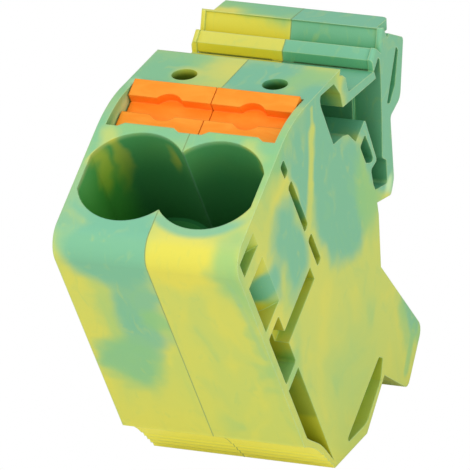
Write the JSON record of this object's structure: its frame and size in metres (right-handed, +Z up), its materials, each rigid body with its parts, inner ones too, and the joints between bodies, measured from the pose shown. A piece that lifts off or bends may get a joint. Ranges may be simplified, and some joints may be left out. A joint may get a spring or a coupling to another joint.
{
  "type": "tap-off terminal block",
  "caption": "Plug-in tap-off terminal block with angled funnel wire entries, push-in release buttons, test holes, a rear marker carrier and a latch foot.",
  "frame": {"origin": "middle of the level underside that the block stands on, on the seam between the two moulded halves", "axes": "+X to the right seen from the funnels, +Y to the back where the contact blade comes out, +Z up; the conductor entries lean forward from +Z"},
  "size_m": [0.0208, 0.0458, 0.0426],
  "materials": {
    "housing_plastic": "satin moulded polyamide, marbled green and yellow",
    "button_plastic": "satin moulded orange",
    "spring_steel": "rolled stainless strip",
    "tinned_copper": "bright tin plating on copper",
    "rivet_brass": "plain"
  },
  "bodies": {
    "housing": {"housing_right": "housing_plastic", "housing_left": "housing_plastic", "clamp_spring_left": "spring_steel", "clamp_spring_right": "spring_steel", "current_bar_left": "tinned_copper", "current_bar_right": "tinned_copper", "contact_blade": "tinned_copper", "contact_rivets": "rivet_brass"},
    "button_left": {"release_button_left": "button_plastic"},
    "button_right": {"release_button_right": "button_plastic"}
  },
  "joints": [
    {"name": "release_left", "type": "slide", "parent": "housing", "child": "button_left", "axis": [0, 0.4726, -0.8813], "range_m": [0, 0.002], "stiffness_N_per_m": 4000, "deforming": ["clamp_spring_left"]},
    {"name": "release_right", "type": "slide", "parent": "housing", "child": "button_right", "axis": [0, 0.4726, -0.8813], "range_m": [0, 0.002], "stiffness_N_per_m": 4000, "deforming": ["clamp_spring_right"]}
  ]
}
